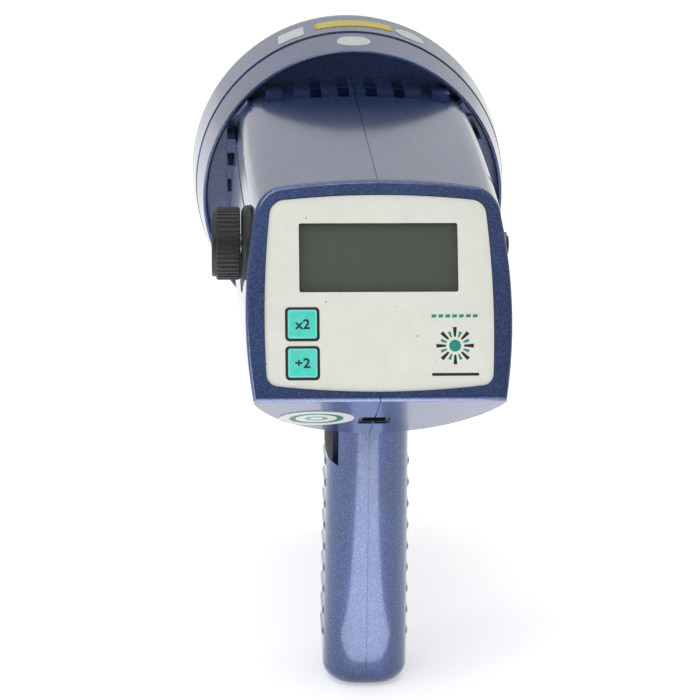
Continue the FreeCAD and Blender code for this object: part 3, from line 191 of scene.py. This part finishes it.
def srgb(red, green, blue):
    """A display colour, 0 to 255 a channel, as linear light."""
    def linear(level):
        level /= 255
        return level / 12.92 if level <= 0.04045 else ((level + 0.055) / 1.055) ** 2.4
    return (linear(red), linear(green), linear(blue))


def metallic_paint(name, deep, mid, bright):
    """Blue paint with fine metal flake, a little orange peel and a clear top coat."""
    n = Nodes(name)
    cloud = n.drift(18 * MM)
    glint = n.step(n.flecks(0.26 * MM), 0.7, 1.0, 0.0, 0.6)
    colour = n.blend(glint, n.blend(cloud, deep, mid), bright)
    peel = n.math("ADD", n.math("MULTIPLY", n.noise(1.4 * MM, 2.0), 0.5), n.noise(0.3 * MM, 1.0))
    n.bump(peel, 0.03 * MM)
    return n.finish(Base_Color=colour, Metallic=0.55, Roughness=n.drift(0.6 * MM, 0.3, 0.42),
                    Coat_Weight=0.9, Coat_Roughness=0.12, Coat_IOR=1.62)


def moulded(name, dark, light, grain=0.35 * MM, depth=0.02 * MM, rough=(0.42, 0.6), **more):
    """Moulded plastic with a fine grain, slight patches of colour and a few scuffed spots."""
    n = Nodes(name)
    patch = n.step(n.noise(9 * MM, 4.0, 0.6), 0.3, 0.75)
    scuff = n.step(n.noise(1.1 * MM, 5.0, 0.7), 0.66, 0.8, 0.0, 0.5)
    n.bump(n.noise(grain, 2.0), depth)
    worn = tuple(min(1.0, level * 1.4 + 0.004) for level in light)
    return n.finish(Base_Color=n.blend(scuff, n.blend(patch, dark, light), worn),
                    Roughness=n.drift(3 * MM, *rough, detail=4.0), **more)


def metal(name, dark, light, stretch=(1, 1, 1), size=0.8 * MM, rough=(0.22, 0.38), depth=0.006 * MM):
    """Metal with fine lines or grain along one direction."""
    n = Nodes(name)
    lines = n.noise(size, 4.0, 0.6, stretch)
    n.bump(lines, depth)
    colour = n.blend(n.drift(6 * MM), dark, light)
    return n.finish(Base_Color=colour, Metallic=1.0, Roughness=n.step(lines, 0.3, 0.7, *rough))


def clear(name, tint, alpha, rough, size=2.5 * MM, depth=0.004 * MM):
    """A clear part: mostly see-through, with a glossy surface that waves very slightly."""
    n = Nodes(name)
    n.bump(n.noise(size, 2.0), depth)
    smear = n.noise(14 * MM, 5.0, 0.6)
    return n.finish(Base_Color=n.blend(smear, tint, tuple(level * 0.8 for level in tint)),
                    Roughness=n.step(smear, 0.4, 0.7, *rough), Alpha=alpha)


def label_sheet():
    """The cream overlay of the display face: a fine matt grain, faint mottling and a few specks."""
    n = Nodes("label_cream")
    mottle = n.step(n.noise(7 * MM, 5.0, 0.6), 0.35, 0.7)
    speck = n.step(n.flecks(0.5 * MM), 0.9985, 0.9995, 0.0, 0.75)
    warm = n.blend(mottle, srgb(229, 230, 221), srgb(223, 225, 215))
    n.bump(n.noise(0.28 * MM, 2.0), 0.012 * MM)
    return n.finish(Base_Color=n.blend(speck, warm, srgb(96, 96, 92)),
                    Roughness=n.drift(1.2 * MM, 0.5, 0.66))


def key_plastic(node, half, corner):
    """A teal key with a printed black outline that runs round its edge, and a painted highlight in a band just
    inside the outline.
    """
    n = Nodes(f"{node}_finish")
    centre = (middle(node, ACROSS), middle(node, UPSLOPE))
    edge = n.rounded_square(centre, half, corner)
    # Painted highlight: a lighter teal band just inside the edge stands in for light catching the key's rounded
    # rim.
    painted_edge_highlight = n.step(n.math("ABSOLUTE", n.math("ADD", edge, 0.25 * MM)), 0.0, 0.5 * MM, 0.55, 0.0)
    teal = n.blend(n.drift(2.2 * MM, detail=4.0), srgb(66, 205, 188), srgb(82, 220, 204))
    teal_with_painted_highlight = n.blend(painted_edge_highlight, teal, srgb(150, 240, 228))
    colour = n.blend(n.step(edge, -0.04 * MM, 0.04 * MM), teal_with_painted_highlight, srgb(24, 26, 28))
    n.bump(n.noise(0.3 * MM, 2.0), 0.01 * MM)
    return n.finish(Base_Color=colour, Roughness=n.drift(1.0 * MM, 0.36, 0.5))


def display_glass():
    """Unlit liquid crystal: olive grey, with painted shade towards its edges where the frame's shadow falls."""
    n = Nodes("display_olive")
    reach = []
    for axis in (ACROSS, UPSLOPE):
        low, high = span("display_window", axis)
        off = n.math("ABSOLUTE", n.math("SUBTRACT", n.along(axis), (low + high) / 2))
        reach.append(n.math("DIVIDE", off, (high - low) / 2))
    # Painted shade: the colour darkens towards the window's edges, standing in for the frame's shadow.
    painted_edge_shade = n.step(n.math("MAXIMUM", *reach), 0.86, 1.02, 0.0, 0.5)
    grain = n.step(n.flecks(0.3 * MM), 0.0, 1.0, 0.0, 0.3)
    glass = n.blend(grain, srgb(114, 121, 111), srgb(100, 108, 98))
    n.bump(n.noise(0.25 * MM, 1.0), 0.004 * MM)
    return n.finish(Base_Color=n.blend(painted_edge_shade, glass, srgb(52, 58, 52)),
                    Roughness=n.step(grain, 0.0, 0.3, 0.4, 0.5))


# The long strip among the stickers on the lamp housing.
STRIP_MIDDLE = 1.5 * MM
STRIP_HALF = 15.2 * MM
STRIP_INNER_HALF = 14.1 * MM
STRIP_START = 20 * MM
PRINT_EDGE = 0.1 * MM


def crown_film():
    """Plain stickers on the lamp housing: white film, and yellow on the long strip, with fine borders."""
    n = Nodes("sticker_film")
    ahead = Vector((0, 1, 0))
    start = span("crown_labels", ahead)[0] + STRIP_START
    aside = n.math("ABSOLUTE", n.math("SUBTRACT", n.along(ACROSS), STRIP_MIDDLE))

    def within(half):
        return n.step(aside, half, half + PRINT_EDGE, 1.0, 0.0)

    strip = n.math("MULTIPLY", within(STRIP_HALF), n.step(n.along(ahead), start, start + PRINT_EDGE))
    inside = n.math("MULTIPLY", within(STRIP_INNER_HALF), strip)
    film = n.blend(n.step(n.noise(2.6 * MM, 4.0), 0.35, 0.7), srgb(203, 205, 205), srgb(188, 191, 192))
    yellow = n.blend(n.step(n.noise(1.8 * MM, 4.0), 0.35, 0.7), srgb(203, 186, 70), srgb(186, 168, 52))
    banded = n.blend(strip, film, srgb(168, 152, 58))
    n.bump(n.noise(1.4 * MM, 3.0), 0.02 * MM)
    return n.finish(Base_Color=n.blend(inside, banded, yellow), Roughness=n.drift(3 * MM, 0.3, 0.5))


def belly_film():
    """The round sticker under the face: white film with plain green rings."""
    n = Nodes("round_sticker_film")
    low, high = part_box("belly_label")
    away = n.vector("LENGTH", n.vector("SUBTRACT", n.place, tuple((low + high) / 2)))
    radius = (high.x - low.x) / 2

    def band(inner, outer):
        edge = 0.06 * MM
        return n.math("MULTIPLY", n.step(away, inner * radius - edge, inner * radius + edge),
                      n.step(away, outer * radius - edge, outer * radius + edge, 1.0, 0.0))

    film = n.blend(n.noise(3 * MM, 4.0), srgb(176, 179, 177), srgb(162, 166, 163))
    ringed = n.blend(band(0.55, 0.72), film, srgb(22, 92, 72))
    dotted = n.blend(band(0.18, 0.30), ringed, srgb(70, 128, 106))
    n.bump(n.noise(1.2 * MM, 3.0), 0.012 * MM)
    return n.finish(Base_Color=dotted, Roughness=n.drift(3 * MM, 0.32, 0.46))


def spun_metal():
    """The reflector: bright metal with fine turned rings about the lamp's axis."""
    n = Nodes("reflector_bright")
    low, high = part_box("reflector")
    centre = (low + high) / 2
    flat = n.vector("MULTIPLY", n.vector("SUBTRACT", n.place, tuple(centre)), (1, 0, 1))
    wave = n.math("SINE", n.math("MULTIPLY", n.vector("LENGTH", flat), 2 * math.pi / (0.9 * MM)))
    mixed = n.math("ADD", n.math("MULTIPLY", wave, 0.5), n.noise(0.7 * MM, 3.0))
    n.bump(mixed, 0.006 * MM)
    bright = n.blend(n.noise(8 * MM, 3.0), (0.86, 0.87, 0.89), (0.93, 0.93, 0.94))
    return n.finish(Base_Color=bright, Metallic=1.0, Roughness=n.drift(2 * MM, 0.1, 0.2, detail=4.0))


def circuit_board():
    """A board with solder mask, faint tracks and pale pads."""
    n = Nodes("board_green")
    tracks = n.step(n.noise(1.4 * MM, 1.0, 0.5, (1, 0.15, 1)), 0.5, 0.54)
    pads = n.step(n.flecks(1.6 * MM), 0.93, 0.95)
    mask = n.blend(tracks, srgb(18, 92, 52), srgb(30, 118, 66))
    n.bump(tracks, 0.03 * MM)
    return n.finish(Base_Color=n.blend(pads, mask, srgb(196, 190, 170)),
                    Roughness=n.drift(2 * MM, 0.3, 0.45))


def windings():
    """Varnished copper wire laid turn by turn, with painted shade in the creases between turns and a painted
    highlight on each turn's crown.
    """
    n = Nodes("coil_copper")
    turns = n.math("SINE", n.math("MULTIPLY", n.along((0, 1, 0)), 2 * math.pi / (0.6 * MM)))
    n.bump(turns, 0.08 * MM)
    # Painted shade and highlight: the copper is darker where the wave dips between turns and lighter on each
    # turn's crown.
    wire = n.blend(n.step(turns, -1.0, 1.0), srgb(112, 58, 26), srgb(190, 112, 58))
    return n.finish(Base_Color=wire, Roughness=n.drift(3 * MM, 0.28, 0.45), Coat_Weight=0.3)


BLACK = (srgb(15, 15, 16), srgb(24, 24, 26))
FINISHES = {
    "casing_blue": metallic_paint("casing_blue", srgb(31, 52, 100), srgb(39, 64, 116), srgb(96, 120, 164)),
    "black_trim": moulded("black_trim", *BLACK),
    "knob_black": moulded("knob_black", srgb(23, 23, 25), srgb(35, 35, 38),
                          0.3 * MM, 0.015 * MM, (0.4, 0.55)),
    "lens_clear": clear("lens_clear", (0.9, 0.94, 0.96), 0.16, (0.03, 0.08)),
    "window_clear": clear("window_clear", srgb(92, 100, 88), 0.3, (0.12, 0.2)),
    "tube_glass": clear("tube_glass", (0.9, 0.92, 0.95), 0.45, (0.04, 0.1), 1.5 * MM),
    "seal_rubber": moulded("seal_rubber", srgb(26, 26, 27), srgb(38, 38, 39),
                           0.5 * MM, 0.03 * MM, (0.65, 0.85)),
    "reflector_bright": spun_metal(),
    "lamp_ceramic": moulded("lamp_ceramic", srgb(214, 210, 198), srgb(228, 225, 214),
                            0.4 * MM, 0.02 * MM, (0.5, 0.7)),
    "steel": metal("steel", (0.52, 0.53, 0.55), (0.66, 0.67, 0.69)),
    "steel_dark": metal("steel_dark", (0.05, 0.05, 0.055), (0.11, 0.11, 0.115)),
    "spring_steel": metal("spring_steel", (0.45, 0.45, 0.47), (0.6, 0.6, 0.62), size=0.4 * MM),
    "encoder_metal": metal("encoder_metal", (0.5, 0.51, 0.53), (0.62, 0.63, 0.65), (1, 8, 1)),
    "coil_copper": windings(),
    "label_cream": label_sheet(),
    "display_green": display_glass(),
    "board_green": circuit_board(),
    "switch_black": moulded("switch_black", srgb(24, 24, 26), srgb(40, 40, 42)),
    "socket_black": moulded("socket_black", srgb(16, 16, 17), srgb(27, 27, 29), rough=(0.35, 0.5)),
    "brass_insert": metal("brass_insert", (0.62, 0.46, 0.2), (0.78, 0.62, 0.3), size=0.5 * MM),
    "battery_wrap": moulded("battery_wrap", srgb(36, 110, 62), srgb(46, 128, 74),
                            0.9 * MM, 0.01 * MM, (0.2, 0.35)),
    "capacitor_sleeve": moulded("capacitor_sleeve", srgb(30, 38, 62), srgb(40, 50, 80),
                                1.0 * MM, 0.01 * MM, (0.2, 0.35)),
}
KEY_HALF = 4.62 * MM
KEY_CORNER = 0.7 * MM
OWN_FINISH = {
    "key_times_two": key_plastic("key_times_two", KEY_HALF, KEY_CORNER),
    "key_divide_two": key_plastic("key_divide_two", KEY_HALF, KEY_CORNER),
    "crown_labels": crown_film(),
    "belly_label": belly_film(),
}
for part in frame["record"]["subparts"]:
    node = frame["nodes"][part["node"]]
    finish = OWN_FINISH.get(part["node"]) or FINISHES[part["material_slot"]]
    if not node.data.materials:
        node.data.materials.append(finish)
    for slot in node.material_slots:
        slot.material = finish


# ---------------------------------------------------------------- printed and fine pieces

def add_piece(name, mesh, finish, body):
    """A mesh becomes a piece with one finish that rides on a body."""
    mesh.materials.clear()
    mesh.materials.append(finish)
    piece = bpy.data.objects.new(name, mesh)
    bpy.context.scene.collection.objects.link(piece)
    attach(piece, body)


def ink(name, colour):
    """Printing ink: nearly even, a little worn and slightly raised in its grain."""
    n = Nodes(name)
    worn = n.step(n.noise(0.9 * MM, 5.0, 0.7), 0.62, 0.8, 0.0, 0.3)
    n.bump(n.noise(0.25 * MM, 2.0), 0.008 * MM)
    return n.finish(Base_Color=n.blend(worn, colour, tuple(level * 0.6 + 0.12 for level in colour)),
                    Roughness=n.drift(1.0 * MM, 0.4, 0.55))


BLACK_INK = ink("black_ink", srgb(26, 28, 30))
TEAL_INK = ink("teal_ink", srgb(22, 140, 126))
PRINT_THICK = 0.03 * MM
LEGEND_TYPE = 4.6 * MM
LEGEND_HIGH = 3.2 * MM
LEGEND_WIDEN = 1.06
LEGEND_WEIGHT = 0.022


def plates(name, outlines, at, finish, body):
    """Thin raised print: each outline, in millimetres about a point of the face, becomes a thin plate."""
    points, faces = [], []
    for outline in outlines:
        first = len(points)
        count = len(outline)
        for lift in (0.0, PRINT_THICK):
            points += [at + on_face(u * MM, v * MM, lift) for u, v in outline]
        faces.append([first + count + k for k in range(count)])
        faces.append([first + count - 1 - k for k in range(count)])
        for k in range(count):
            following = (k + 1) % count
            faces.append([first + k, first + following, first + count + following, first + count + k])
    mesh = bpy.data.meshes.new(name)
    mesh.from_pydata([tuple(point) for point in points], [], faces)
    mesh.update()
    add_piece(name, mesh, finish, body)


def legend(name, text, node):
    """A key's legend, set in plain type and turned into a thin mesh on the key's top."""
    curve = bpy.data.curves.new(name, "FONT")
    curve.body = text
    curve.size = LEGEND_TYPE
    curve.align_x = "CENTER"
    curve.align_y = "CENTER"
    curve.extrude = PRINT_THICK / 2
    curve.offset = LEGEND_WEIGHT * LEGEND_TYPE
    curve.resolution_u = 6
    made = bpy.data.objects.new(name + "_curve", curve)
    bpy.context.scene.collection.objects.link(made)
    bpy.context.view_layer.update()
    mesh = bpy.data.meshes.new_from_object(made.evaluated_get(bpy.context.evaluated_depsgraph_get()))
    bpy.data.objects.remove(made)
    reach = [corner.co.copy() for corner in mesh.vertices]
    shift = [(min(co[k] for co in reach) + max(co[k] for co in reach)) / 2 for k in (0, 1)]
    mesh.transform(Matrix.Translation((-shift[0], -shift[1], PRINT_THICK / 2)))
    tall = max(co[1] for co in reach) - min(co[1] for co in reach)
    mesh.transform(Matrix.Diagonal((LEGEND_WIDEN * LEGEND_HIGH / tall, LEGEND_HIGH / tall, 1.0, 1.0)))
    mesh.transform(FACE_TURN.to_4x4())
    centre = on_face(middle(node, ACROSS), middle(node, UPSLOPE), span(node, OUT)[1])
    mesh.transform(Matrix.Translation(centre))
    add_piece(name, mesh, BLACK_INK, BODIES[node])


legend("legend_times_two", "x2", "key_times_two")
legend("legend_divide_two", "÷2", "key_divide_two")


def bar(u, v, long, high, lean=0.0):
    """A leaning bar's outline about its centre."""
    return [(u - long / 2 - lean * high / 2, v - high / 2), (u + long / 2 - lean * high / 2, v - high / 2),
            (u + long / 2 + lean * high / 2, v + high / 2), (u - long / 2 + lean * high / 2, v + high / 2)]


def burst(inner, outer, count, turn, half_width):
    """Tapered rays round a centre."""
    rays = []
    for k in range(count):
        angle = turn + 2 * math.pi * k / count
        ahead = (math.cos(angle), math.sin(angle))
        aside = (-ahead[1], ahead[0])
        corners = ((inner, -0.5), (outer, -1.0), (outer, 1.0), (inner, 0.5))
        rays.append([tuple(ahead[axis] * reach + aside[axis] * side * half_width for axis in (0, 1))
                     for reach, side in corners])
    return rays


def disc(radius, sides=32):
    """A circle's outline about the centre."""
    angles = [2 * math.pi * k / sides for k in range(sides)]
    return [(radius * math.cos(angle), radius * math.sin(angle)) for angle in angles]


# The face's generic mark: a burst of rays with a line above and below, in millimetres about its centre.
MARK_ACROSS = 24.0 * MM
MARK_ABOVE_EDGE = 14.6 * MM
MARK = on_face(MARK_ACROSS, span("face_label", UPSLOPE)[0] + MARK_ABOVE_EDGE, span("face_label", OUT)[1])
RAYS = 8
LONG_RAYS = burst(inner=2.9, outer=6.0, count=RAYS, turn=0.0, half_width=0.62)
SHORT_RAYS = burst(inner=2.9, outer=4.8, count=RAYS, turn=math.pi / RAYS, half_width=0.5)
DASHES = [bar(-6.6 + 2.2 * k, 9.6, long=1.5, high=1.0, lean=0.25) for k in range(7)]
UNDERLINE = bar(0.0, -9.2, long=15.0, high=0.9)
for name, outlines, colour in (("mark_rays_black", LONG_RAYS, BLACK_INK),
                               ("mark_rays_teal", SHORT_RAYS + [disc(1.9)], TEAL_INK),
                               ("mark_line_teal", DASHES, TEAL_INK),
                               ("mark_line_black", [UNDERLINE], BLACK_INK)):
    plates(name, outlines, MARK, colour, "casing")


# ---------------------------------------------------------------- studio

def studio_paper():
    """The pale floor: paper with a barely visible tooth."""
    n = Nodes("studio_paper")
    n.bump(n.noise(2 * MM, 3.0), 0.02 * MM)
    white = n.blend(n.noise(60 * MM, 3.0), (0.97, 0.97, 0.97), (0.955, 0.955, 0.96))
    return n.finish(Base_Color=white, Roughness=0.9, Specular_IOR_Level=0.1,
                    Emission_Color=(1.0, 1.0, 1.0), Emission_Strength=0.4)


FLOOR_HALF = 6.0
FLOOR_DROP = 0.2 * MM
floor_mesh = bpy.data.meshes.new("floor")
floor_level = CAD_BOX[0].z - FLOOR_DROP
floor_mesh.from_pydata([(side * FLOOR_HALF, end * FLOOR_HALF, floor_level) for side, end in
                        ((-1, -1), (1, -1), (1, 1), (-1, 1))], [], [(0, 1, 2, 3)])
floor_mesh.materials.append(studio_paper())
floor = bpy.data.objects.new("floor", floor_mesh)
bpy.context.scene.collection.objects.link(floor)

# The air is brightest above and ahead of the lamp, and fades towards the camera.
BRIGHT_SIDE = (0.0, 0.75, 0.66)
world = bpy.data.worlds.new("studio")
bpy.context.scene.world = world
world.use_nodes = True
air = world.node_tree
sky = air.nodes.new("ShaderNodeTexCoord")
lean = air.nodes.new("ShaderNodeVectorMath")
lean.operation = "DOT_PRODUCT"
lean.inputs[1].default_value = BRIGHT_SIDE
fade = air.nodes.new("ShaderNodeMapRange")
air.links.new(sky.outputs["Generated"], lean.inputs[0])
air.links.new(lean.outputs["Value"], fade.inputs["Value"])
for name, number in (("From Min", -0.45), ("From Max", 0.6), ("To Min", 0.16), ("To Max", 0.7)):
    fade.inputs[name].default_value = number
background = next(item for item in air.nodes if item.type == "BACKGROUND")
background.inputs["Color"].default_value = (1.0, 1.0, 1.0, 1.0)
air.links.new(fade.outputs["Result"], background.inputs["Strength"])


def softbox(name, at, aim, wide, high, watts):
    """A rectangular light that faces a point."""
    lamp = bpy.data.lights.new(name, "AREA")
    lamp.shape = "RECTANGLE"
    lamp.size = wide
    lamp.size_y = high
    lamp.energy = watts
    made = bpy.data.objects.new(name, lamp)
    made.location = at
    made.rotation_mode = "QUATERNION"
    made.rotation_quaternion = (Vector(aim) - Vector(at)).to_track_quat("-Z", "Y")
    bpy.context.scene.collection.objects.link(made)
    return made


HEART = (0.0, 0.0, 0.12)
softbox("over", at=(0.0, 0.25, 1.5), aim=HEART, wide=1.2, high=1.0, watts=4.5)
softbox("over_back", at=(-0.25, -0.75, 1.25), aim=HEART, wide=0.8, high=0.5, watts=4.0)
softbox("left_side", at=(-1.0, -0.5, 0.2), aim=HEART, wide=0.3, high=0.6, watts=3.0)
# A faint panel on the floor behind the handle, facing up and hidden from the camera.
glow = softbox("floor_glow", at=(0.0, -0.165, 0.001), aim=(0.0, -0.165, 1.0),
               wide=0.10, high=0.25, watts=0.24)
glow.visible_camera = False

CAMERA_AT = Vector((-0.054205, -0.861398, 0.387354))
CAMERA_AHEAD = Vector((0.044803, 0.953854, -0.296908)).normalized()
CAMERA_ROLL = 0.009
SENSOR_WIDE = 36.0
FOCAL_LENGTH = 135.18
SHIFT = (0.0327, -0.0040)
lens = bpy.data.cameras.new("camera")
lens.sensor_width = SENSOR_WIDE
lens.lens = FOCAL_LENGTH
lens.shift_x, lens.shift_y = SHIFT
lens.clip_start = 0.05
lens.clip_end = 50.0
right = CAMERA_AHEAD.cross(Vector((0, 0, 1))).normalized()
up = right.cross(CAMERA_AHEAD)
rolled_right = right * math.cos(CAMERA_ROLL) + up * math.sin(CAMERA_ROLL)
rolled_up = up * math.cos(CAMERA_ROLL) - right * math.sin(CAMERA_ROLL)
camera = bpy.data.objects.new("camera", lens)
turn = Matrix((rolled_right, rolled_up, -CAMERA_AHEAD)).transposed()
camera.matrix_world = Matrix.Translation(CAMERA_AT) @ turn.to_4x4()
bpy.context.scene.collection.objects.link(camera)
bpy.context.scene.camera = camera
bpy.context.scene.view_settings.view_transform = "Standard"
